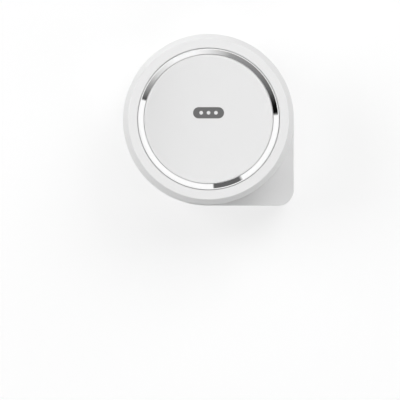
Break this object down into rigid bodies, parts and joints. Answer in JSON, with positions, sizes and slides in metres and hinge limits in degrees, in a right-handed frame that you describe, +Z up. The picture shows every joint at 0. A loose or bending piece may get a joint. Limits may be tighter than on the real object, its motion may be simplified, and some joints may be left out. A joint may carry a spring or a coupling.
{
  "type": "toothbrush sanitizer",
  "caption": "Wall-hung ultraviolet toothbrush sanitizer: round hinged lid with a bright ring over a drop-outlined body with a reflective brush chamber and neck fork.",
  "frame": {"origin": "middle of the adhesive pad's face on the wall, on the round lid's axis", "axes": "+Z up, +X to the right seen from the front, -Y out of the wall towards the room"},
  "size_m": [0.065, 0.0344, 0.0649],
  "materials": {
    "white_shell": "fine satin moulded ABS",
    "panel_white": "smooth semi-gloss plastic",
    "trim_chrome": "bright plated plastic",
    "white_plastic": "moulded ABS",
    "button_white": "satin moulded ABS",
    "reflector": "bright vacuum-metallised tray",
    "quartz": "polished quartz",
    "silicone": "soft translucent white silicone",
    "silicone_grey": "soft grey silicone",
    "foam_tape": "closed-cell foam tape",
    "screw_steel": "zinc-plated steel",
    "pin_steel": "ground steel",
    "magnet_nickel": "nickel-plated magnet",
    "board_green": "solder-masked board",
    "board_white": "white solder-masked aluminium board",
    "lamp_ceramic": "ceramic lamp package",
    "chip_black": "moulded epoxy",
    "switch_black": "moulded nylon",
    "clear_plastic": "clear acrylic",
    "socket_steel": "plated steel",
    "battery_wrap": "foil pouch",
    "lead_red": "insulated wire"
  },
  "bodies": {
    "mount_plate": {"adhesive_pad": "foam_tape", "wall_plate": "white_plastic"},
    "housing": {"body_shell": "white_shell", "back_cover": "white_plastic", "cover_screws": "screw_steel", "chamber_liner": "reflector", "quartz_pane": "quartz", "led_board": "board_white", "uvc_leds": "lamp_ceramic", "led_screws": "screw_steel", "brush_fork": "silicone", "lid_seal": "silicone_grey", "body_magnets": "magnet_nickel", "hinge_pin": "pin_steel", "main_board": "board_green", "board_chips": "chip_black", "board_screws": "screw_steel", "lid_sensor": "chip_black", "power_switch": "switch_black", "light_pipe": "clear_plastic", "status_lamp": "lamp_ceramic", "usb_socket": "socket_steel", "usb_tongue": "chip_black", "battery": "battery_wrap", "battery_tape": "foam_tape", "battery_leads": "lead_red", "led_leads": "lead_red", "flap_anchor": "silicone"},
    "lid": {"lid_shell": "white_shell", "trim_ring": "trim_chrome", "face_panel": "panel_white", "lid_liner": "reflector", "liner_screws": "screw_steel", "lid_magnets": "magnet_nickel"},
    "button": {"power_button": "button_white"},
    "flap": {"port_flap": "silicone"}
  },
  "joints": [
    {"name": "body_lift", "type": "slide", "parent": "mount_plate", "child": "housing", "axis": [0, 0, 1], "range_m": [0, 0.005]},
    {"name": "lid_hinge", "type": "hinge", "parent": "housing", "child": "lid", "pos_m": [0.0286, -0.0226, 0], "axis": [0, 0, 1], "range_deg": [0, 100]},
    {"name": "button_press", "type": "slide", "parent": "housing", "child": "button", "axis": [-1, 0, 0], "range_m": [0, 0.0006], "stiffness_N_per_m": 300, "springref_m": -0.001},
    {"name": "flap_hinge", "type": "hinge", "parent": "housing", "child": "flap", "pos_m": [0.0225, -0.00983, -0.03195], "axis": [0, -1, 0], "range_deg": [0, 90]}
  ]
}
